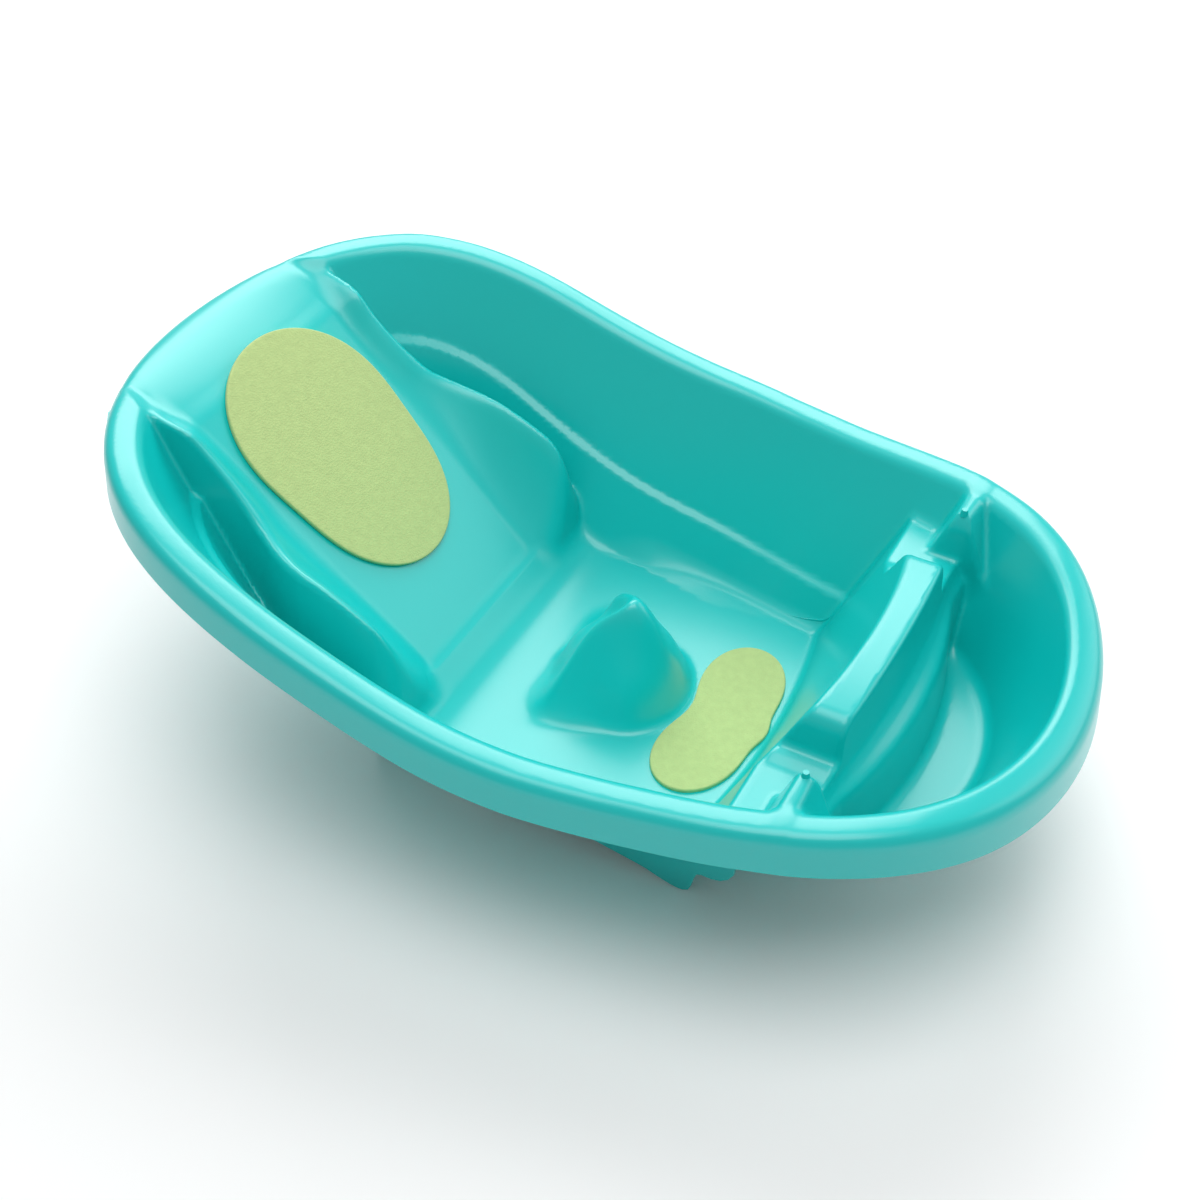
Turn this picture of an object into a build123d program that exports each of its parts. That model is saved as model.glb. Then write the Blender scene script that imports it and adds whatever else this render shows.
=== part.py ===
from build123d import *
import os

# Baby bathtub: one moulded plastic shell with a reclined infant end, an upright toddler end
# and a rinse basin behind the toddler's backrest, two foam pads stuck inside, and a drain plug.
# Millimetres. Origin on the ground under the middle of the tub, +Z up, +X towards the basin
# end, +Y towards one long side. The tub is the same on both sides of the XZ plane.

# ---- overall sizes -------------------------------------------------------------------------
tub_length = 745.0          # between the crests of the rim at the two ends
tub_width = 477.0           # between the crests of the rim at the widest place
floor_height = 38.0         # top of the main floor above the ground
depth_at_middle = 148.0     # main floor to rim crest at mid length
wall = 2.5                  # moulded wall everywhere
hollow_margin = 0.5         # hollows below stop this far inside the side walls

# ---- rim and skirt ------------------------------------------------------------------------
rim_width = 23.0            # crest of the rim in to the mouth of the cavity
skirt_flare = 8.5           # skirt's lower edge outside the crest
skirt_drop = 32.0           # skirt's lower edge below the crest
head_rise = 80.0            # rim crest at the head above the rim at mid length
sag_rise = -7.0             # rim crest at the dip beside the seat pad
foot_rise = 0.0             # rim crest beside the basin
tip_rise = -20.0            # rim crest at the basin end

# ---- infant backrest ----------------------------------------------------------------------
recline_rise = 0.926        # backrest climbs this much for each millimetre back
backrest_middle = -233.5    # x of the middle of the backrest pad
backrest_height = 142.0     # slope above the main floor at that place
backrest_toe = -110.0       # x where the straight backrest ends and the fold begins
backrest_brow = 6.0         # slope's rounded upper edge below the rim crest
fold_end = -40.0            # x where the fold runs out into the floor
backrest_half_width = 112.0
bolster_half_width = 131.0
bolster_inner = 76.0        # |y| where a bolster's inner face meets the floor
bolster_rise = 136.0        # bolster shoulder above the floor

# ---- seat bump, toddler backrest and basin ------------------------------------------------
bump_start = -22.0
bump_peak = 28.0
bump_end = 71.0
bump_rise = 93.0
bump_half_width = 66.0
divider_foot = 150.0        # x where the toddler backrest leaves the floor
divider_front = 214.0       # x of the front edge of its top
divider_back = 243.0        # x of the back edge of its top
divider_rise = 147.0        # its top above the main floor
notch_inner = 100.0
notch_outer = 142.0
notch_depth = 34.0
basin_start = 268.0
basin_rise = 38.0           # basin floor above the main floor
peg_radius = 3.5
peg_height = 3.0

# ---- feet, hooks, drain -------------------------------------------------------------------
foot_blade = 4.0
foot_pad_length = 26.0
foot_pad_width = 18.0
front_foot_x = 152.0
front_foot_y = 134.0
rear_foot_x = -130.0
rear_foot_y = 127.0
front_run = 210.0           # how far a front foot's blade runs back along the tub
rear_run = 110.0
foot_root = 72.0            # blades are drawn up to here, then cut off at the wall
hook_width = 14.0
hook_height = 14.0
hook_reach = 3.0
hook_share = 0.11           # how far round the side from the head, as a share of half the rim
drain_x = 105.0
drain_y = -108.0
drain_radius = 12.0
drain_boss_wall = 4.0
drain_boss_drop = 8.0
plug_clearance = 0.06
plug_flange_radius = 16.5
plug_flange = 2.5
plug_wall = 2.0
plug_loop_radius = 6.5
plug_loop_wire = 1.4

# ---- pads ---------------------------------------------------------------------------------
pad_thickness = 4.0
film_thickness = 0.4
back_pad_length = 219.0     # along the slope
back_pad_wide = 160.0       # across the wide end, nearest the head
seat_pad_length = 168.0     # across the tub
seat_pad_width = 71.0
seat_pad_waist = 8.0        # depth of the hollow in the side that faces the bump
seat_pad_centre = 111.0
film_margin = 3.0           # film stops this far inside the pad's edge

# ---- worked out ---------------------------------------------------------------------------
half_length = tub_length / 2
half_width = tub_width / 2
rim_middle = floor_height + depth_at_middle
divider_top = floor_height + divider_rise
basin_floor = floor_height + basin_rise
very_high = rim_middle + head_rise + 60
below_ground = -20.0

# rim crest seen from above: (share of the half length, share of the half width)
crest_shape = [
    (-1.0, 0.0), (-0.8, 0.75), (-0.5, 0.96), (0.0, 1.0), (0.45, 0.915), (0.8, 0.695), (1.0, 0.0),
]
# inside of the floor and of the mouth, in from the crest at each of those stations
floor_inset = [130, 112, 116, 94, 94, 78, 70]
mouth_shift = [-22, -21, -8, 17, 19, 12, 12]
mouth_height = rim_middle + 84.0


def grow(stations, distances):
    """Move each station square to the outline, outwards for a positive distance."""
    moved = []
    last = len(stations) - 1
    for i, (x, y) in enumerate(stations):
        x0, y0 = stations[i - 1] if i > 0 else (stations[1][0], -stations[1][1])
        x1, y1 = stations[i + 1] if i < last else (stations[-2][0], -stations[-2][1])
        along = Vector(x1 - x0, y1 - y0, 0).normalized()
        moved.append((x - along.Y * distances[i], y + along.X * distances[i]))
    return moved


def half_loop(points):
    """Smooth curve through the points that meets the XZ plane squarely at both ends."""
    return Spline(*points, tangents=[(0, 1), (0, -1)], tangent_scalars=[1, 1])


def outline(stations, z=0.0):
    """Closed face through the stations, mirrored about the XZ plane."""
    half = half_loop(stations)
    return Pos(0, 0, z) * make_face(half.edges() + mirror(half, Plane.XZ).edges())


def side_prism(points, reach):
    """Solid whose side view is the closed shape, reaching to both sides of the XZ plane."""
    path = [(x, 0, z) for x, z in points]
    return extrude(make_face(Polyline(*path, close=True)), amount=reach, dir=(0, 1, 0), both=True)


def end_prism(points, x0, x1):
    """Solid whose end view is the closed shape, from x0 to x1."""
    path = [(x0, y, z) for y, z in points]
    return extrude(make_face(Polyline(*path, close=True)), amount=x1 - x0, dir=(1, 0, 0))


def plan_prism(points, z0, z1):
    """Solid whose plan is the closed shape, from z0 to z1."""
    path = [(x, y, z0) for x, y in points]
    return extrude(make_face(Polyline(*path, close=True)), amount=z1 - z0, dir=(0, 0, 1))


def box(x0, x1, y0, y1, z0, z1):
    """Box between two corners."""
    middle = Pos((x0 + x1) / 2, (y0 + y1) / 2, (z0 + z1) / 2)
    return middle * Box(x1 - x0, y1 - y0, z1 - z0)


def both_sides(shape):
    """The shape and its mirror image across the XZ plane."""
    return shape + mirror(shape, Plane.XZ)


crest = [(sx * half_length, sy * half_width) for sx, sy in crest_shape]
count = len(crest)
floor_stations = grow(crest, [-d for d in floor_inset])
mouth_stations = grow(crest, mouth_shift)


def pot(extra):
    """Body of the cavity, grown outwards and downwards by extra."""
    low = grow(floor_stations, [extra] * count)
    high = grow(mouth_stations, [extra] * count)
    return loft([outline(low, floor_height - extra), outline(high, mouth_height)], ruled=True)


def under_rim(drop):
    """Everything lower than the rim's saddle curve less a drop."""
    heights = [
        (-half_length - 20, head_rise - 8), (-0.83 * half_length, head_rise),
        (-0.54 * half_length, 0.7 * head_rise), (-0.27 * half_length, 0.29 * head_rise),
        (0, 0), (0.27 * half_length, sag_rise), (0.64 * half_length, foot_rise),
        (0.83 * half_length, foot_rise - 2), (half_length + 20, tip_rise),
    ]
    path = [(x, 0, rim_middle + rise - drop) for x, rise in heights]
    curve = Spline(*path)
    low = Polyline(path[-1], (path[-1][0], 0, below_ground), (path[0][0], 0, below_ground), path[0])
    area = make_face(curve.edges() + low.edges())
    return extrude(area, amount=half_width + 50, dir=(0, 1, 0), both=True)


def slope_at(x):
    """Height of the backrest's slope at x."""
    return floor_height + backrest_height - recline_rise * (x - backrest_middle)


def backrest(inset):
    """The reclined backrest and its two bolsters, less an inset for the hollow below."""
    top_x = rim_width - half_length - 8
    drop = inset * (1 + recline_rise ** 2) ** 0.5
    brow_z = rim_middle + head_rise - backrest_brow
    brow_x = backrest_middle - (brow_z - floor_height - backrest_height) / recline_rise
    ramp = side_prism(
        [(top_x, below_ground), (top_x, brow_z - 1 - drop), (brow_x - 6, brow_z - drop),
         (brow_x + 8, slope_at(brow_x + 8) - drop), (backrest_toe, slope_at(backrest_toe) - drop),
         (backrest_toe + 30, floor_height + 10 - inset), (fold_end, floor_height - inset),
         (fold_end, below_ground)],
        half_width)
    side = backrest_half_width - inset
    shoulder = bolster_half_width - inset
    end = -92.0 - inset
    plan = plan_prism(
        [(top_x - 1, -side), (-235, -side), (-195, -shoulder), (end, -shoulder),
         (end + 4, -bolster_inner - 4), (fold_end + 1, -bolster_inner + inset),
         (fold_end + 1, bolster_inner - inset), (end + 4, bolster_inner + 4),
         (end, shoulder), (-195, shoulder), (-235, side), (top_x - 1, side)],
        below_ground, very_high)
    crown = floor_height + bolster_rise - inset
    bolster_side = side_prism(
        [(-262, below_ground), (-262, crown + 52), (-222, crown + 14), (-195, crown),
         (-130, crown - 22), (end - 10, crown - 36), (end, floor_height - inset),
         (end, below_ground)],
        half_width)
    bolster_end = both_sides(end_prism(
        [(bolster_inner + inset, below_ground), (bolster_inner + inset, floor_height - inset),
         (shoulder - 6, very_high), (shoulder, very_high), (shoulder, below_ground)],
        -280, end + 1))
    return (ramp & plan) + (bolster_side & bolster_end & plan)


def seat_bump(inset):
    """The moulded bump between the infant's legs."""
    peak = floor_height + bump_rise - inset
    foot = floor_height - inset
    side = side_prism(
        [(bump_start + inset, below_ground), (bump_start + inset, foot + 2), (0 + inset, foot + 30),
         (bump_peak - 10, peak - 12), (bump_peak, peak), (bump_peak + 20, peak - 10),
         (bump_end - 8 - inset, peak - 40), (bump_end - inset, foot), (bump_end - inset, below_ground)],
        half_width)
    wide = bump_half_width - inset
    end = end_prism(
        [(-wide, below_ground), (-wide, foot + 6), (-0.5 * wide, foot + 0.62 * bump_rise), (0, peak + 1),
         (0.5 * wide, foot + 0.62 * bump_rise), (wide, foot + 6), (wide, below_ground)],
        bump_start, bump_end + 1)
    plan = plan_prism(
        [(bump_start, -wide), (bump_peak, -0.85 * wide), (bump_peak + 26, -0.5 * wide),
         (bump_end, -0.2 * wide), (bump_end, 0.2 * wide), (bump_peak + 26, 0.5 * wide),
         (bump_peak, 0.85 * wide), (bump_start, wide)],
        below_ground, very_high)
    return side & end & plan


def divider(inset):
    """The toddler backrest with its two notches, and the raised floor of the basin."""
    top = divider_top - inset
    body = side_prism(
        [(divider_foot + inset, below_ground), (divider_foot + inset, floor_height - inset),
         (divider_front + inset, top), (divider_back - inset, top),
         (basin_start - 8 - inset, basin_floor + 46), (basin_start - inset, basin_floor - inset),
         (half_length + 30, basin_floor - inset), (half_length + 30, below_ground)],
        half_width + 20)
    notch = both_sides(box(
        divider_foot, basin_start, notch_inner - inset, notch_outer + inset,
        divider_top - notch_depth - inset, very_high))
    return body - notch


# ---- tub shell ----------------------------------------------------------------------------
skirt_out = grow(crest, [skirt_flare] * count)
skirt_in = grow(crest, [skirt_flare - wall] * count)
outer = extrude(outline(skirt_out, below_ground), amount=very_high)
inner = extrude(outline(skirt_in, below_ground - 1), amount=very_high + 2)
rim_block = (outer - under_rim(skirt_drop)) - (inner & under_rim(wall))
cavity = pot(0) - backrest(0) - seat_bump(0) - divider(0)
inside = pot(-hollow_margin) + extrude(
    outline(grow(floor_stations, [-hollow_margin] * count), floor_height + wall), amount=-4 * wall)
under_basin = box(
    basin_start - wall, half_length + 30, -half_width, half_width,
    below_ground, basin_floor - wall)
shell = rim_block + pot(wall) - cavity
for hollow in (backrest(wall), seat_bump(wall), divider(wall) & inside, under_basin):
    shell = shell - hollow
shell = shell & under_rim(0)

# feet: a blade under each corner of the floor, with a flat pad at its tip
floor_under = floor_height - wall
for foot_x, foot_y, run in (
    (front_foot_x, front_foot_y, -front_run), (rear_foot_x, rear_foot_y, rear_run),
):
    toward = 1 if run > 0 else -1
    heel = foot_x - toward * foot_pad_length / 2
    tip = foot_x + toward * foot_pad_length / 2
    blade_side = side_prism(
        [(heel, 0), (tip, 0), (foot_x + run, floor_under - 2), (foot_x + run, foot_root),
         (heel, foot_root)],
        half_width)
    blade = blade_side & box(
        -half_length, half_length, foot_y - foot_blade / 2, foot_y + foot_blade / 2,
        0, foot_root)
    blade = blade - pot(wall / 2)
    pad = box(
        foot_x - foot_pad_length / 2, foot_x + foot_pad_length / 2,
        foot_y - foot_pad_width / 2, foot_y + foot_pad_width / 2, 0, foot_blade)
    shell = shell + both_sides(blade + pad)

# sling pegs on the outer ends of the toddler backrest, and hooks outside the head rim
peg = Pos((divider_front + divider_back) / 2, notch_outer + 2 * peg_radius, divider_top) * Cone(
    peg_radius, peg_radius * 0.6, peg_height, align=(Align.CENTER, Align.CENTER, Align.MIN))
shell = shell + both_sides(peg)
hook_z = rim_middle + head_rise - skirt_drop + hook_height / 2
skirt_line = half_loop(skirt_out)
hook_at = skirt_line @ hook_share
hook_plane = Plane(
    origin=(hook_at.X, hook_at.Y, hook_z), x_dir=skirt_line % hook_share, z_dir=(0, 0, 1))
hook = hook_plane * Box(hook_width, 2 * hook_reach, hook_height)
shell = shell + both_sides(hook)

# drain: a short bored boss under the floor, out of sight beside the toddler's seat
boss = Pos(drain_x, drain_y, floor_height - wall / 2) * Cylinder(
    drain_radius + drain_boss_wall, drain_boss_drop + wall / 2,
    align=(Align.CENTER, Align.CENTER, Align.MAX))
bore = Pos(drain_x, drain_y, floor_height) * Cylinder(
    drain_radius, 6 * drain_boss_drop, align=(Align.CENTER, Align.CENTER, Align.CENTER))
shell = shell + boss - bore

# ---- drain plug ---------------------------------------------------------------------------
stem_radius = drain_radius - plug_clearance
stem_length = wall / 2 + drain_boss_drop
stem = Pos(drain_x, drain_y, floor_height) * Cylinder(
    stem_radius, stem_length, align=(Align.CENTER, Align.CENTER, Align.MAX))
stem_hollow = Pos(drain_x, drain_y, floor_height) * Cylinder(
    stem_radius - plug_wall, stem_length, align=(Align.CENTER, Align.CENTER, Align.MAX))
plug_head = Pos(drain_x, drain_y, floor_height) * Cylinder(
    plug_flange_radius, plug_flange, align=(Align.CENTER, Align.CENTER, Align.MIN))
loop_stand = floor_height + plug_flange
loop = Pos(drain_x, drain_y, loop_stand) * Rot(90, 0, 0) * Torus(plug_loop_radius, plug_loop_wire)
loop = loop & box(
    drain_x - 20, drain_x + 20, drain_y - 20, drain_y + 20, loop_stand - 0.5, loop_stand + 20)
plug = plug_head + stem - stem_hollow + loop

# ---- foam pads and the films that hold them -----------------------------------------------
def egg(shrink):
    """Backrest pad outline: wide round head end, narrower round foot end."""
    shape = [
        (-0.495, 0.0), (-0.455, 0.225), (-0.315, 0.43), (-0.14, 0.49), (0.0, 0.485),
        (0.29, 0.4), (0.45, 0.225), (0.5, 0.0)]
    points = [(along * back_pad_length, across * back_pad_wide) for along, across in shape]
    return outline(grow(points, [-shrink] * len(points)))


def kidney(shrink):
    """Seat pad outline: almost straight towards the divider, hollowed towards the bump."""
    far = seat_pad_width / 2 - shrink
    tip = seat_pad_length / 2 - shrink
    lobe = tip * 0.6
    return outline([
        (-far + seat_pad_waist, 0), (-far, lobe), (0, tip), (far - 3, lobe), (far, 0)])


def stuck_down(shape, plane):
    """A pad on its film: the film's outline is smaller, and it lies between pad and shell."""
    film = extrude(plane * shape(film_margin), amount=film_thickness, dir=plane.z_dir)
    lifted = plane.offset(film_thickness)
    pad = extrude(lifted * shape(0), amount=pad_thickness, dir=plane.z_dir)
    return pad, film


slope_plane = Plane(
    origin=(backrest_middle, 0, slope_at(backrest_middle)),
    x_dir=(1, 0, -recline_rise), z_dir=(recline_rise, 0, 1))
back_pad, back_film = stuck_down(egg, slope_plane)
floor_plane = Plane(origin=(seat_pad_centre, 0, floor_height), x_dir=(1, 0, 0), z_dir=(0, 0, 1))
seat_pad, seat_film = stuck_down(kidney, floor_plane)

# ---- files --------------------------------------------------------------------------------
os.makedirs("parts", exist_ok=True)
for node, solid in (
    ("tub_shell", shell), ("drain_plug", plug), ("backrest_pad", back_pad),
    ("backrest_pad_adhesive", back_film), ("seat_pad", seat_pad), ("seat_pad_adhesive", seat_film),
):
    export_step(solid, "parts/" + node + ".step")
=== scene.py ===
import json
import math

import bmesh
import bpy
import numpy as np
from mathutils import Matrix, Vector


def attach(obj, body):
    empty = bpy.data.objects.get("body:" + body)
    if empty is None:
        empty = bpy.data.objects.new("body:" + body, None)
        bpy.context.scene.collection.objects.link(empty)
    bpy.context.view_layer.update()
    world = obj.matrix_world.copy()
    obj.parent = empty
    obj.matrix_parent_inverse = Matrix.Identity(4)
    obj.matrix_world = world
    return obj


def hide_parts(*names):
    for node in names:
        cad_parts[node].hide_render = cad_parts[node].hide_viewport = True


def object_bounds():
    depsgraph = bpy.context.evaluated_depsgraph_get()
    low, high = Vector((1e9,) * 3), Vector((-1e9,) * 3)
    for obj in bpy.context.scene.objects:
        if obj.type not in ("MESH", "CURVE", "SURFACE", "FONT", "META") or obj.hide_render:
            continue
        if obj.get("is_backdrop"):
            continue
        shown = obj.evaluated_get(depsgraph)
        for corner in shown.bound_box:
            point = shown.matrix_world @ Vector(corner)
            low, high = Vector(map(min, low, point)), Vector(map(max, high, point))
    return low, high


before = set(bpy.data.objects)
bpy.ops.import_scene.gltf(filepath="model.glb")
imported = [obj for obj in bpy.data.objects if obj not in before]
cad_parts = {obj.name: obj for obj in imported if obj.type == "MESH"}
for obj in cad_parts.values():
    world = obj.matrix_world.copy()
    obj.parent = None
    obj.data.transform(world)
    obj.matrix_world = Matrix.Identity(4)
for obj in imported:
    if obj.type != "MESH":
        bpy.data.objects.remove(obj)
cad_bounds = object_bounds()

# ---- tub shell -----------------------------------------------------------------------------
# One injection-moulded polypropylene shell, 2.5 mm thick, in a glossy aqua. It comes out of the
# tool in one piece with its reclined infant back, bolsters, seat bump, toddler back, basin and
# turned-down rim. All sizes are millimetres, and heights are above the ground, as in the CAD.
shell_aqua = (0.0, 0.53, 0.51)
shell_wall = 2.5
mesh_step = 3.6         # grid that the skin is first drawn on
plan_cell = 2.0         # grid of the tables that are kept in plan
kept_waves = 14         # detail left in the rim's outline
floor_z = 38.0          # main floor
rim_z = 186.0           # the rim where crest_height is nought
basin_z = 76.0          # rinse basin's floor
basin_from = 240.0
rim_inner = 23.3        # crest of the rim to the top of the side wall
skirt_drop = 32.0       # crest of the rim to the skirt's lower edge
skirt_out = 8.5
shoulder_out = 5.3
wall_height = 140.0     # crest of the rim to the foot of the side wall
ledge_step = 5.0
slope_rise = 0.926      # infant back: rise over run, and its height at the pad's middle
slope_at_pad = 180.0
pad_x = -233.5
fold = 26.0             # rounding between the infant back and the floor
infant_end = -92.0      # where the bolsters stop
bump_x = 28.0           # peak of the seat bump
dome_height = 62.0
toddler_foot = 150.0    # toddler back: foot of its face, back edge and middle of its top
toddler_lean = 0.457
toddler_rear = 243.0
toddler_top = 190.5
fin_x = 232.0
drain = (105.0, -108.0)
drain_radius = 12.0
drain_lip = 1.0


def curve(x, points):
    """Smooth curve through the points that never overshoots them."""
    px, py = np.array(points, float).T
    h, m = np.diff(px), np.diff(py) / np.diff(px)
    slope = np.zeros(len(px))
    same = m[:-1] * m[1:] > 0
    w1, w2 = 2 * h[1:] + h[:-1], h[1:] + 2 * h[:-1]
    slope[1:-1][same] = ((w1 + w2)[same]
                         / (w1[same] / m[:-1][same] + w2[same] / m[1:][same]))
    slope[0], slope[-1] = m[0], m[-1]
    x = np.clip(x, px[0], px[-1])
    i = np.clip(np.searchsorted(px, x) - 1, 0, len(px) - 2)
    t = (x - px[i]) / h[i]
    return (py[i] * (1 + 2 * t) * (1 - t) ** 2 + slope[i] * h[i] * t * (1 - t) ** 2
            + py[i + 1] * t * t * (3 - 2 * t) + slope[i + 1] * h[i] * t * t * (t - 1))


def step(x, a, b):
    """Rises smoothly from 0 at a to 1 at b."""
    t = np.clip((x - a) / (b - a), 0, 1)
    return t * t * (3 - 2 * t)


def soft_min(a, b, k):
    """The smaller of the two, rounded over k where they meet."""
    return np.minimum(a, b) - k / 4 * np.clip(1 - np.abs(a - b) / k, 0, 1) ** 2


def soft_max(a, b, k):
    return -soft_min(-a, -b, k)


# crest of the rim seen from above, and its height along the tub
crest_half = [(-372.5, 0), (-370, 34), (-361, 76), (-344, 116), (-318, 156), (-285, 190),
              (-245, 213), (-195, 228), (-140, 234), (-80, 236), (-20, 238.5), (35, 238),
              (90, 230.5), (145, 221), (200, 211.5), (245, 198), (285, 177.5), (318, 150),
              (345, 112), (363, 68), (371, 28), (372.5, 0)]
crest_height = [(-381, 73), (-360, 77), (-330, 80.5), (-290, 78), (-250, 70), (-210, 59),
                (-170, 46), (-130, 32), (-90, 19.5), (-50, 9), (-10, 1.5), (30, -3), (70, -6),
                (110, -6.5), (150, -5), (190, -2.5), (230, 0), (270, 0), (305, -2), (330, -6),
                (350, -11), (381, -20)]
crest = np.array(crest_half + [(x, -y) for x, y in crest_half[-2:0:-1]], float)
closed = np.vstack([crest, crest[:1]])
along = np.concatenate([[0], np.cumsum(np.hypot(*np.diff(closed, axis=0).T))])
even = np.linspace(0, along[-1], 1024, endpoint=False)
ring = np.interp(even, along, closed[:, 0]) + 1j * np.interp(even, along, closed[:, 1])
waves = np.fft.fft(ring)
waves[kept_waves:1 - kept_waves] = 0
ring = np.fft.ifft(waves)
ring_out = -1j * np.roll(ring, -1) + 1j * np.roll(ring, 1)    # outward, a unit long
ring_out /= np.abs(ring_out)
if (ring_out[0].real > 0) == (ring[0].real < 0):
    ring_out = -ring_out

# distance in from the crest, worked out once on the plan grid and read back smoothly
grid_x = np.arange(-400.0, 401.0, plan_cell)
grid_y = np.arange(-264.0, 265.0, plan_cell)
batch = 4000
gx, gy = np.meshgrid(grid_x, grid_y, indexing="ij")
plan = (gx + 1j * gy).ravel()
inward = np.zeros(len(plan))
for s in range(0, len(plan), batch):
    p = plan[s:s + batch, None]
    near = np.argmin(np.abs(p - ring[None, :]), axis=1)
    inward[s:s + batch] = -((p[:, 0] - ring[near]) * np.conj(ring_out[near])).real
inward = inward.reshape(gx.shape)


def read_back(table, x, y):
    """Smooth reading of a table made on the plan grid."""
    u = np.clip((x - grid_x[0]) / plan_cell, 1, len(grid_x) - 3.001)
    v = np.clip((y - grid_y[0]) / plan_cell, 1, len(grid_y) - 3.001)
    i, j = u.astype(int), v.astype(int)
    fu, fv = u - i, v - j

    def weights(f):
        return (-0.5 * f + f ** 2 - 0.5 * f ** 3, 1 - 2.5 * f ** 2 + 1.5 * f ** 3,
                0.5 * f + 2 * f ** 2 - 1.5 * f ** 3, -0.5 * f ** 2 + 0.5 * f ** 3)
    total = 0
    for a, wa in enumerate(weights(fu)):
        for b, wb in enumerate(weights(fv)):
            total = total + wa * wb * table[i + a - 1, j + b - 1]
    return total


def crest_distance(x, y):
    """Distance in from the rim's crest, in plan."""
    return read_back(inward, x, y)


def horn(x, a):
    """The moulded bump between the infant's legs: a horn with a scooped face and a round nose.

    a is the distance from the tub's middle line.
    """
    ridge_x = curve(a, [(0, 27), (5, 25), (16, 10), (28, -1), (41, -9), (68, -21), (90, -28)])
    ridge = curve(a, [(0, 90), (9, 87), (19, 75), (31, 56), (44, 34), (56, 14), (68, 2), (80, 0),
                      (120, 0)])
    nose = curve(a, [(0, 72), (15, 66), (35, 55), (48, 43), (60, 22), (68, 2), (90, -12)])
    front = np.clip((x - ridge_x) / np.maximum(nose - ridge_x, 12), 0, 1.2)
    back = np.clip((ridge_x - x) / np.maximum(ridge_x + 46, 22), 0, 1)
    crescent = ridge * np.where(x > ridge_x, np.clip(1 - front ** 2.0, 0, 1), (1 - back) ** 2.6)
    reach = (np.where(x > bump_x, np.abs(x - bump_x) / 44, 0) ** 2.5
             + np.where(x < bump_x, np.abs(bump_x - x) / 62, 0) ** 2)
    dome = dome_height * np.clip(1 - reach - (a / 50) ** 1.8, 0, 1) ** 0.6
    return (crescent ** 4 + dome ** 4) ** (1 / 4)


# the horn's edges are rounded by spreading its height a few millimetres each way
bump_table = horn(gx, np.abs(gy))
for _ in range(8):
    for axis in (0, 1):
        bump_table = (np.roll(bump_table, 1, axis) + 2 * bump_table + np.roll(bump_table, -1, axis)) / 4


def rim_crown(d, top, z):
    """Top of the rim: a shallow crown that slopes down a little inside the mouth."""
    fall = 2.2 * ((np.minimum(d, rim_inner) - 6) / 17) ** 2 + 0.26 * 34 * np.tanh(
        np.maximum(d - rim_inner, 0) / 34)
    return (z - (top - fall)) * 0.97


def side_wall(x, d, deep):
    """The leaning wall under the rim, with its small ledge."""
    lean = curve(x, [(-372, .40), (-250, .44), (-100, .48), (150, .48), (230, .45), (372, .34)])
    ledge = curve(x, [(-372, 62), (-254, 68), (-227, 72), (-197, 77), (-136, 89), (-50, 100),
                      (67, 106), (164, 111), (372, 113)])
    inset = (rim_inner - 2 + lean * np.maximum(deep, 0)
             + ledge_step * (step(deep, ledge - 3, ledge + 3) - 0.5))
    return (d - inset) / np.sqrt(1 + lean ** 2)


def infant_back(x, a, z, plane):
    """The reclined back: flat under the pad, dished at the sides, rising into the bolsters."""
    bolster = rim_z + curve(x, [(-330, 81), (-300, 76), (-285, 68), (-270, 51), (-255, 35.5),
                                (-240, 20.5), (-225, 6), (-210, -2), (-195, -7.5), (-180, -11.5),
                                (-165, -15.5), (-150, -21.5), (-135, -28.5), (-120, -37),
                                (-105, -50), (-80, -75), (-40, -120)])
    base = soft_max(plane, np.full_like(plane, floor_z), fold)
    inner = curve(x, [(-330, 88), (-190, 80), (-110, 75), (-60, 76)])
    outer = curve(x, [(-330, 115), (-300, 113), (-270, 110), (-255, 111), (-240, 114), (-225, 119),
                      (-210, 125), (-195, 129), (-180, 131), (-100, 132)])
    across = np.clip((a - inner) / (outer - inner), 0, 1.3)
    seat = (z - base - np.maximum(bolster + 3 - base, 0) * across ** 1.8) / 1.363
    side_lean = curve(x, [(-330, .10), (-220, .14), (-160, .22), (-100, .31)])
    side = (a - outer - side_lean * (bolster - z)) / np.sqrt(1 + side_lean ** 2)
    end = x - infant_end + 0.10 * (z - floor_z)
    return soft_max(soft_max(seat, side, 14), end, 16)


def bath_floor(x, y, a, z, top, plane):
    """The main floor with its faint rising strip along each side, and the bump."""
    crease = curve(x, [(-140, 110), (-84, 138), (-18, 129), (41, 118), (93, 123), (136, 124)])
    wall_foot = soft_max(top - wall_height, np.full_like(top, floor_z), 6)
    strip = floor_z + (wall_foot - floor_z) * np.clip(
        (a - crease) / np.maximum(20, 150 - crease), 0, 1.2)
    folded = soft_max(np.minimum(plane, 60), np.full_like(plane, floor_z), fold)
    return z - soft_max(folded, strip, 5) - read_back(bump_table, x, y)


def toddler_back(x, a, z):
    """The back across the tub, with its band-like top, its notches and the shelf behind it."""
    bow = np.minimum(a / 110, 1.1) ** 2
    face = toddler_foot - 11 * bow + toddler_lean * (z - floor_z) - x
    shelf = curve(z, [(60, 270), (76, 268), (100, 266), (118, 264), (128, 261), (137, 251),
                      (145, 246), (160, 244), (190, 243)])
    rear = x - (toddler_rear + (shelf - toddler_rear) * (1 - 0.5 * np.minimum(bow, 1)) - 7 * bow)
    block = soft_max(z - (toddler_top - 7 * (a / 100) ** 2), (a - 99) + 0.12 * (z - 160), 13)
    notch = z - (151 - 4 * step(a, 105, 120))
    return soft_max(soft_max(face, rear, 4), soft_min(block, notch, 6), 4)


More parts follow.
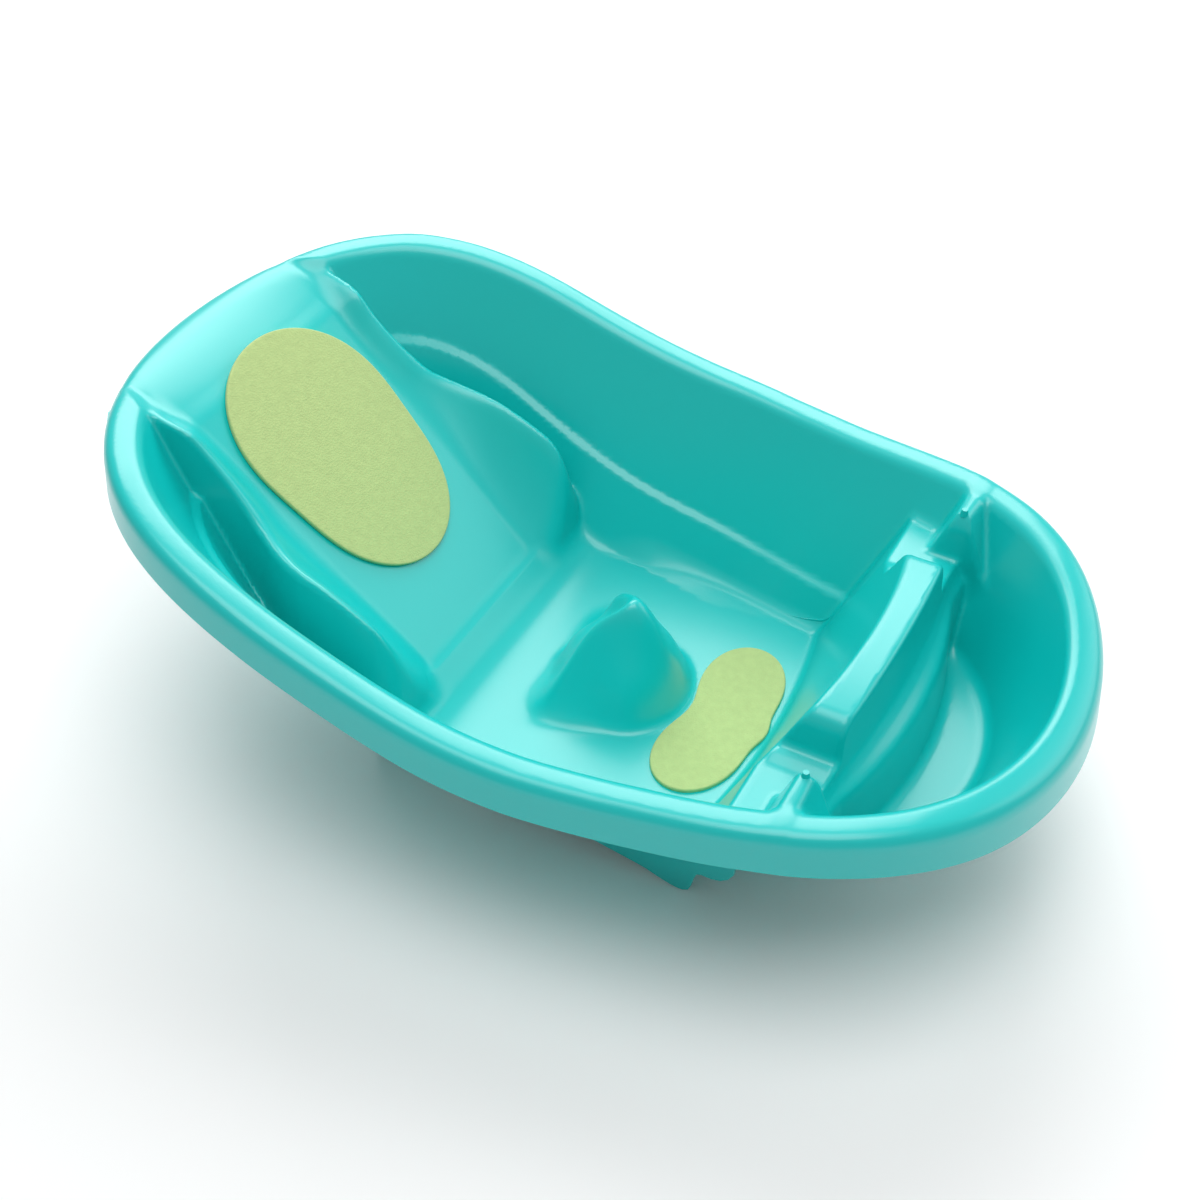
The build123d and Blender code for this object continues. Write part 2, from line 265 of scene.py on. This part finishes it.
def peg_fin(x, a, z):
    """The upright fin at each end of the toddler back that carries a peg."""
    fin = soft_max((np.abs(x - fin_x) - 4 - 0.40 * (190 - z)) * 0.93,
                   z - (188 - 1.5 * np.maximum(150 - a, 0) - 0.1 * np.maximum(a - 150, 0)), 5)
    return soft_max(fin, 143 - a, 5)


def tub_field(x, y, z):
    """Negative in the shell and below it, positive above it; zero on the tub's upper skin.

    Each piece of the shape is joined to the ones before it with its own rounding.
    """
    a = np.sqrt(y * y + 1.0)
    d = crest_distance(x, y)
    top = rim_z + curve(x, crest_height)
    deep = top - z
    plane = slope_at_pad - slope_rise * (x - pad_x)
    brow = step(-x, 270, 312) * step(-a, -119, -98)
    body = soft_min(side_wall(x, d, deep), infant_back(x, a, z, plane), 5)
    body = soft_max(body, rim_crown(d, top, z), 6 + 20 * brow)
    body = soft_min(body, bath_floor(x, y, a, z, top, plane), 9)
    body = soft_min(body, toddler_back(x, a, z), 7)
    body = soft_min(body, peg_fin(x, a, z), 6)
    body = soft_min(body, soft_max(z - basin_z, basin_from - x, 2), 8)
    skirt = -d - (shoulder_out + (skirt_out - shoulder_out) * np.clip(deep, 0, 60) / skirt_drop)
    return soft_max(body, skirt, 9)


def gradient(p, h=0.4):
    """Slope of tub_field at each point, across 2 h millimetres."""
    out = np.empty_like(p)
    for k in range(3):
        e = np.zeros(3)
        e[k] = h
        out[:, k] = (tub_field(*(p + e).T) - tub_field(*(p - e).T)) / (2 * h)
    return out


def skin_mesh(step_mm):
    """Quads over the zero of tub_field: one vertex in each grid cell that it crosses."""
    xs = np.arange(-388.0, 389.0, step_mm)
    ys = (np.arange(140) - 69.5) * step_mm
    ys = ys[np.abs(ys) < 254]
    zs = np.arange(20.0, 276.0, step_mm)
    x, y, z = np.meshgrid(xs, ys, zs, indexing="ij")
    f = tub_field(x, y, z)
    neg = f < 0
    shape = np.array(f.shape) - 1
    total = np.zeros(tuple(shape) + (3,))
    count = np.zeros(tuple(shape))
    origin = np.array([xs[0], ys[0], zs[0]])
    cross = []
    for k in range(3):
        lo = [slice(None)] * 3
        hi = [slice(None)] * 3
        lo[k], hi[k] = slice(0, -1), slice(1, None)
        fa, fb = f[tuple(lo)], f[tuple(hi)]
        changed = neg[tuple(lo)] != neg[tuple(hi)]
        idx = np.argwhere(changed)
        t = (fa[changed] / (fa[changed] - fb[changed]))
        pos = idx.astype(float)
        pos[:, k] += t
        o1, o2 = [m for m in range(3) if m != k]
        cells = []
        for d1, d2 in ((0, 0), (1, 0), (1, 1), (0, 1)):
            c = idx.copy()
            c[:, o1] -= d1
            c[:, o2] -= d2
            cells.append(c)
        ok = np.ones(len(idx), bool)
        for c in cells:
            ok &= ((c >= 0) & (c < shape)).all(1)
        for c in cells:
            np.add.at(total, tuple(c[ok].T), pos[ok])
            np.add.at(count, tuple(c[ok].T), 1)
        flip = neg[tuple(lo)][changed][ok] == (k != 1)
        cross.append((np.stack([c[ok] for c in cells], 1), flip))
    used = count > 0
    number = -np.ones(tuple(shape), int)
    number[used] = np.arange(used.sum())
    points = total[used] / count[used][:, None] * step_mm + origin
    quads = []
    for cells, flip in cross:
        q = number[cells[..., 0], cells[..., 1], cells[..., 2]]
        q[~flip] = q[~flip][:, ::-1]
        quads.append(q)
    return points, np.vstack(quads)


# the skin, pulled onto the surface a little at a time
points, quads = skin_mesh(mesh_step)
for _ in range(4):
    g = gradient(points)
    f = tub_field(*points.T)
    move = -(f / np.maximum((g * g).sum(1), 0.05))[:, None] * g
    size = np.linalg.norm(move, axis=1)[:, None]
    points += move * np.minimum(1, 0.6 * mesh_step / np.maximum(size, 1e-9))

# stop at the skirt's lower edge, and leave the drain open
skirt_edge = rim_z + curve(points[:, 0], crest_height) - skirt_drop
outside = crest_distance(points[:, 0], points[:, 1]) < 3
below = outside & (points[:, 2] < skirt_edge)
from_drain = np.hypot(points[:, 0] - drain[0], points[:, 1] - drain[1])
in_drain = (from_drain < drain_radius + drain_lip) & (points[:, 2] < floor_z + 5)
gone = below[quads].all(1) | in_drain[quads].all(1)
quads = quads[~gone]
kept = np.unique(quads)
renumber = -np.ones(len(points), int)
renumber[kept] = np.arange(len(kept))
quads, points = renumber[quads], points[kept]
below, in_drain, skirt_edge = below[kept], in_drain[kept], skirt_edge[kept]
points[below, 2] = skirt_edge[below]
ray = points[in_drain, :2] - drain
ray /= np.linalg.norm(ray, axis=1)[:, None]
points[in_drain, :2] = np.array(drain) + ray * (drain_radius + drain_lip)
edge = outside[kept] & (np.abs(points[:, 2] - skirt_edge) < 0.01)
for _ in range(3):
    g = gradient(points[edge])
    g[:, 2] = 0
    f = tub_field(*points[edge].T)
    points[edge] -= (f / np.maximum((g * g).sum(1), 0.2))[:, None] * g
normals = gradient(points)
normals /= np.linalg.norm(normals, axis=1)[:, None]

# the under side, a wall's thickness away, and the strip that joins both along each open edge
under = points - normals * shell_wall
sides = np.concatenate([quads[:, [0, 1]], quads[:, [1, 2]], quads[:, [2, 3]], quads[:, [3, 0]]])
pairs = {}
for s, e in sides.tolist():
    pairs[(s, e)] = pairs.get((s, e), 0) + 1
rims = [(s, e) for s, e in pairs if (e, s) not in pairs]
n = len(points)
strip = [(e, s, s + n, e + n) for s, e in rims]
mesh = bpy.data.meshes.new("shell")
mesh.from_pydata(np.vstack([points, under]).tolist(), [],
                 quads.tolist() + (quads[:, ::-1] + n).tolist() + strip)
mesh.transform(Matrix.Scale(0.001, 4))
mesh.validate()
for polygon in mesh.polygons:
    polygon.use_smooth = True
mesh.normals_split_custom_set_from_vertices(np.vstack([normals, -normals]).tolist())
shell = bpy.data.objects.new("shell", mesh)
bpy.context.scene.collection.objects.link(shell)


def plastic(name, colour, roughness, coat=0.0, scatter=0.0):
    """A moulded plastic or rubber with the faint ripple of a tool surface."""
    material = bpy.data.materials.new(name)
    material.use_nodes = True
    nodes, links = material.node_tree.nodes, material.node_tree.links
    shader = nodes["Principled BSDF"]
    shader.inputs["Base Color"].default_value = (*colour, 1)
    shader.inputs["Roughness"].default_value = roughness
    shader.inputs["Coat Weight"].default_value = coat
    shader.inputs["Coat Roughness"].default_value = 0.22
    shader.inputs["Subsurface Weight"].default_value = scatter
    shader.inputs["Subsurface Radius"].default_value = (0.2, 1.0, 1.0)
    shader.inputs["Subsurface Scale"].default_value = 0.004
    place = nodes.new("ShaderNodeTexCoord")
    noise = nodes.new("ShaderNodeTexNoise")
    noise.inputs["Scale"].default_value = 90
    noise.inputs["Detail"].default_value = 3
    bump = nodes.new("ShaderNodeBump")
    bump.inputs["Strength"].default_value = 0.02
    bump.inputs["Distance"].default_value = 0.0004
    links.new(place.outputs["Object"], noise.inputs["Vector"])
    links.new(noise.outputs["Fac"], bump.inputs["Height"])
    links.new(bump.outputs["Normal"], shader.inputs["Normal"])
    return material


shell_material = plastic("shell_polypropylene", shell_aqua, 0.34, coat=0.45, scatter=0.04)
mesh.materials.append(shell_material)
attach(shell, "tub")
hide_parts("tub_shell")

# ---- feet, pegs and hooks ------------------------------------------------------------------
# Moulded in one with the shell: a thin blade under each corner that carries the tub on its
# rounded toe, a small peg on each end of the toddler back, and two low hooks outside the head.
blade = 4.0
front_toe_y = 135.0
rear_toe_y = 125.0
toe_station = 6.0       # spacing of the stations along a blade
root_sink = 1.2         # how far a blade's root runs into the shell
rear_root_x = -88.0     # outside this the rear blades stop short of the shell's under side
rear_root_z = 45.0
peg_at = (232, 151, 188.2)
hook_at = (-352, 118, 241)
hook_turn = 0.62
hook_size = (7, 14, 13)


def skin_height(x, y):
    """Height of the tub's upper skin at a place in plan."""
    low, high = np.full_like(x, 15.0), np.full_like(x, 275.0)
    for _ in range(24):
        middle = (low + high) / 2
        solid = tub_field(x, np.full_like(x, y), middle) < 0
        low, high = np.where(solid, middle, low), np.where(solid, high, middle)
    return low


def slab(name, bottom, top, y, thick):
    """An upright plate between two lines of the same stations, with a rounded lower edge."""
    verts, faces = [], []
    half = thick / 2
    around = [(-half, 1.0), (-half * 0.7, 0.3), (0, 0), (half * 0.7, 0.3), (half, 1.0)]
    for (x, z0), (_, z1) in zip(bottom, top):
        verts.append((x, y - half, max(z1, z0 + 1.1)))
        verts += [(x, y + dy, z0 + dz) for dy, dz in around]
        verts.append((x, y + half, max(z1, z0 + 1.1)))
    n = 7
    for i in range(len(bottom) - 1):
        for k in range(n):
            m = (k + 1) % n
            faces.append((i * n + k, i * n + m, (i + 1) * n + m, (i + 1) * n + k))
    faces += [tuple(range(n - 1, -1, -1)), tuple(range((len(bottom) - 1) * n, len(bottom) * n))]
    made = bpy.data.meshes.new(name)
    made.from_pydata(verts, [], faces)
    return made


def add_part(name, meshes, material):
    """Joins meshes drawn in millimetres into one object in metres."""
    work = bmesh.new()
    for m in meshes:
        work.from_mesh(m)
    bmesh.ops.recalc_face_normals(work, faces=work.faces)
    made = bpy.data.meshes.new(name)
    work.to_mesh(made)
    work.free()
    made.transform(Matrix.Scale(0.001, 4))
    for polygon in made.polygons:
        polygon.use_smooth = True
    made.set_sharp_from_angle(angle=math.radians(40))
    made.materials.append(material)
    obj = bpy.data.objects.new(name, made)
    bpy.context.scene.collection.objects.link(obj)
    return obj


front_toe = [(-60, 33), (0, 24), (60, 16), (104, 9), (114, 7), (124, 3.5), (134, 0.8), (140, 0.2),
             (144, 0.6), (148, 3), (150, 8), (152, 18), (154, 24), (158, 26), (166, 26),
             (173, 28), (179, 33), (183, 40)]
rear_toe = [(-136, 10), (-133, 3), (-128, 0.4), (-120, 0.2), (-112, 0.8), (-104, 3), (-60, 19),
            (-20, 34)]
blades = []
for sign in (-1, 1):
    for toe, y in ((front_toe, front_toe_y), (rear_toe, rear_toe_y)):
        px, pz = np.array(toe, float).T
        fine = np.unique(np.concatenate([px, np.arange(px[0], px[-1], toe_station)]))
        root = skin_height(fine, sign * y) - root_sink
        if toe is rear_toe:
            short = rear_root_z + np.clip(rear_root_x - fine, 0, 20) * 0.4
            root = np.where(fine < rear_root_x, short, root)
        blades.append(slab("blade", list(zip(fine, np.interp(fine, px, pz))),
                           list(zip(fine, root)), sign * y, blade))
feet = add_part("feet", blades, shell_material)

# pegs on the toddler back
small = []
for sign in (-1, 1):
    work = bmesh.new()
    bmesh.ops.create_cone(work, cap_ends=True, segments=32, radius1=3.4, radius2=2.2, depth=5.5,
                          matrix=Matrix.Translation((peg_at[0], sign * peg_at[1], peg_at[2])))
    m = bpy.data.meshes.new("peg")
    work.to_mesh(m)
    work.free()
    small.append(m)
pegs = add_part("pegs", small, shell_material)

# hooks low on the outside of the head's skirt
small = []
for sign in (-1, 1):
    work = bmesh.new()
    bmesh.ops.create_cube(work, size=1, matrix=(
        Matrix.Translation((hook_at[0], sign * hook_at[1], hook_at[2]))
        @ Matrix.Rotation(-sign * hook_turn, 4, "Z") @ Matrix.Diagonal((*hook_size, 1))))
    bmesh.ops.bevel(work, geom=work.edges[:], offset=1.2, segments=3, affect="EDGES")
    m = bpy.data.meshes.new("hook")
    work.to_mesh(m)
    work.free()
    small.append(m)
hooks = add_part("hooks", small, shell_material)

for o in (feet, pegs, hooks):
    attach(o, "tub")
    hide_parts("tub_shell")

# ---- foam pads -----------------------------------------------------------------------------
# Two die-cut pads of lime closed-cell foam, 4 mm thick, with a fine pebbled grain and an edge
# that the cutting die has rounded. Each is stuck down on its film: one on the infant back, one
# on the floor in front of the toddler back.
foam_lime = (0.47, 0.6, 0.235)
foam_edge = 1.3
film = 0.4
pad_thick = 4.0
outline_points = 192    # points round a pad's outline
flat_from = 6.0         # the top is flat from here inwards
seat_pad_x = 111.5


def back_outline(t):
    """The long egg on the infant back, wider towards the head."""
    r = 93.5 - 2 * np.cos(t) + 15.5 * np.cos(2 * t) + 2.7 * np.cos(3 * t) - 0.5 * np.cos(4 * t)
    return r * np.cos(t), r * np.sin(t)


def seat_outline(t):
    """The pad on the floor, pinched in at its middle."""
    r = (53 - 1.5 * np.cos(t) - 25.5 * np.cos(2 * t) + 4.9 * np.cos(3 * t)
         + 5.2 * np.cos(4 * t) - 0.6 * np.cos(5 * t))
    return r * np.cos(t), r * np.sin(t)


def pad_mesh(name, shape, place):
    """A flat pad with rounded edges: rings from the middle of the top out over the edge."""
    t = np.linspace(0, 2 * math.pi, outline_points, endpoint=False)
    x, y = shape(t)
    tx, ty = np.roll(x, -1) - np.roll(x, 1), np.roll(y, -1) - np.roll(y, 1)
    length = np.hypot(tx, ty)
    nx, ny = ty / length, -tx / length
    low, high = film, film + pad_thick
    profile = [(foam_edge * 0.6, low), (0.2, low + 0.5), (0, low + 1.2), (0, high - foam_edge)]
    for a in (0.3, 0.6, 0.9, 1.2, 1.5708):
        profile.append((foam_edge * (1 - math.cos(a)), high - foam_edge * (1 - math.sin(a))))
    profile += [(3, high), (flat_from, high)]
    rows = [np.stack([x - nx * inset, y - ny * inset, np.full(outline_points, z)], 1) for inset, z in profile]
    flat_x, flat_y = x - nx * flat_from, y - ny * flat_from
    for share in (0.85, 0.65, 0.45, 0.25, 0.1):
        rows.append(np.stack([flat_x * share, flat_y * share, np.full(outline_points, high)], 1))
    verts = np.vstack(rows + [np.array([[0, 0, high], [0, 0, low]])])
    faces = []
    for r in range(len(rows) - 1):
        here, above = r * outline_points, (r + 1) * outline_points
        for i in range(outline_points):
            j = (i + 1) % outline_points
            faces.append((here + i, here + j, above + j, above + i))
    last, top, bottom = (len(rows) - 1) * outline_points, len(verts) - 2, len(verts) - 1
    for i in range(outline_points):
        j = (i + 1) % outline_points
        faces += [(last + i, last + j, top), (j, i, bottom)]
    made = bpy.data.meshes.new(name)
    made.from_pydata(verts.tolist(), [], faces)
    made.transform(Matrix.Scale(0.001, 4) @ place)
    made.validate()
    for polygon in made.polygons:
        polygon.use_smooth = True
    obj = bpy.data.objects.new(name, made)
    bpy.context.scene.collection.objects.link(obj)
    return obj


foam = bpy.data.materials.new("pad_foam")
foam.use_nodes = True
nodes, links = foam.node_tree.nodes, foam.node_tree.links
shader = nodes["Principled BSDF"]
shader.inputs["Roughness"].default_value = 0.85
shader.inputs["Sheen Weight"].default_value = 0.15
place = nodes.new("ShaderNodeTexCoord")
grain = nodes.new("ShaderNodeTexVoronoi")
grain.inputs["Scale"].default_value = 620
cloud = nodes.new("ShaderNodeTexNoise")
cloud.inputs["Scale"].default_value = 160
cloud.inputs["Detail"].default_value = 4
mixed = nodes.new("ShaderNodeMath")
mixed.operation = "ADD"
bump = nodes.new("ShaderNodeBump")
bump.inputs["Strength"].default_value = 0.5
bump.inputs["Distance"].default_value = 0.0005
ramp = nodes.new("ShaderNodeValToRGB")
ramp.color_ramp.elements[0].position = 0.35
ramp.color_ramp.elements[0].color = (*[c * 0.93 for c in foam_lime], 1)
ramp.color_ramp.elements[1].position = 0.7
ramp.color_ramp.elements[1].color = (*foam_lime, 1)
links.new(place.outputs["Object"], grain.inputs["Vector"])
links.new(place.outputs["Object"], cloud.inputs["Vector"])
links.new(grain.outputs["Distance"], mixed.inputs[0])
links.new(cloud.outputs["Fac"], mixed.inputs[1])
links.new(mixed.outputs[0], bump.inputs["Height"])
links.new(cloud.outputs["Fac"], ramp.inputs["Fac"])
links.new(ramp.outputs["Color"], shader.inputs["Base Color"])
links.new(bump.outputs["Normal"], shader.inputs["Normal"])

tilt = math.atan(slope_rise)
on_slope = Matrix.Translation((pad_x, 0, slope_at_pad)) @ Matrix.Rotation(tilt, 4, "Y")
on_floor = Matrix.Translation((seat_pad_x, 0, floor_z))
for name, shape, where, node in (
    ("back_foam", back_outline, on_slope, "backrest_pad"),
    ("seat_foam", seat_outline, on_floor, "seat_pad"),
):
    pad = pad_mesh(name, shape, where)
    pad.data.materials.append(foam)
    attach(pad, "tub")
    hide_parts(node)

# ---- adhesive films ------------------------------------------------------------------------
# Thin clear double-sided film under each pad, cut a little smaller than the foam so that it
# doesn't show. The CAD nodes are shown as they are.
film_material = plastic("adhesive_film", (0.70, 0.72, 0.66), 0.5)
for node in ("backrest_pad_adhesive", "seat_pad_adhesive"):
    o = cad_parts[node]
    o.data.materials.clear()
    o.data.materials.append(film_material)

# ---- drain plug ----------------------------------------------------------------------------
# A soft rubber plug pressed into the drain from above: a thin flange, a hollow stem and a
# half-ring loop to pull it by. The CAD node is shown as it is, in a darker teal rubber.
plug_material = plastic("plug_rubber", (0.02, 0.30, 0.29), 0.55)
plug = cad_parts["drain_plug"]
plug.data.materials.clear()
plug.data.materials.append(plug_material)
for polygon in plug.data.polygons:
    polygon.use_smooth = True

# ---- floor and light -----------------------------------------------------------------------
# A pale seamless floor, a broad soft light behind on the left, one overhead, and a weak one
# behind on the right. Sizes from here on are metres.
ground_half = 6.0
floor_mesh = bpy.data.meshes.new("ground")
corners = [(x * ground_half, y * ground_half, 0) for x, y in ((-1, -1), (1, -1), (1, 1), (-1, 1))]
floor_mesh.from_pydata(corners, [], [(0, 1, 2, 3)])
ground = bpy.data.objects.new("ground", floor_mesh)
bpy.context.scene.collection.objects.link(ground)
ground_material = bpy.data.materials.new("ground")
ground_material.use_nodes = True
ground_shader = ground_material.node_tree.nodes["Principled BSDF"]
ground_shader.inputs["Base Color"].default_value = (0.93, 0.93, 0.93, 1)
ground_shader.inputs["Roughness"].default_value = 0.9
floor_mesh.materials.append(ground_material)
ground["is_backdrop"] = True


def area_light(name, place, target, size, watts):
    """A soft rectangular light that faces the target."""
    light = bpy.data.lights.new(name, "AREA")
    light.shape = "RECTANGLE"
    light.size, light.size_y = size
    light.energy = watts
    obj = bpy.data.objects.new(name, light)
    obj.location = place
    obj.rotation_euler = (Vector(target) - Vector(place)).to_track_quat("-Z", "Y").to_euler()
    bpy.context.scene.collection.objects.link(obj)


area_light("back_left", (-1.0, 1.7, 1.9), (0, 0, 0.15), (2.4, 1.6), 54)
area_light("back_right", (1.6, 1.7, 1.25), (-0.2, 0, 0.2), (2.0, 1.3), 12)
area_light("overhead", (0.3, -0.4, 2.6), (0, 0, 0.1), (2.0, 2.0), 38)
world = bpy.data.worlds.new("studio")
bpy.context.scene.world = world
world.use_nodes = True
background = world.node_tree.nodes["Background"]
background.inputs["Color"].default_value = (1, 1, 1, 1)
background.inputs["Strength"].default_value = 0.36
bpy.context.scene.view_settings.view_transform = "Standard"

# ---- camera --------------------------------------------------------------------------------
# High three-quarter view over the near side of the basin's end, from a little over a metre away,
# with a lens slightly longer than normal.
camera_place = (0.4679, -0.8706, 1.0187)
camera_round = 28.23
camera_down = 42.33
camera_roll = 0.21
camera_data = bpy.data.cameras.new("camera")
camera_data.lens = 51.87
camera_data.sensor_width = 36
camera = bpy.data.objects.new("camera", camera_data)
camera.matrix_world = (
    Matrix.Translation(camera_place)
    @ Matrix.Rotation(math.radians(camera_round), 4, "Z")
    @ Matrix.Rotation(math.radians(90 - camera_down), 4, "X")
    @ Matrix.Rotation(math.radians(camera_roll), 4, "Z"))
bpy.context.scene.collection.objects.link(camera)
bpy.context.scene.camera = camera


def plain(bounds):
    """The bounds as plain lists that json can write."""
    return json.loads(json.dumps(bounds, default=list))


{"before": plain(cad_bounds), "after": plain(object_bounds())}
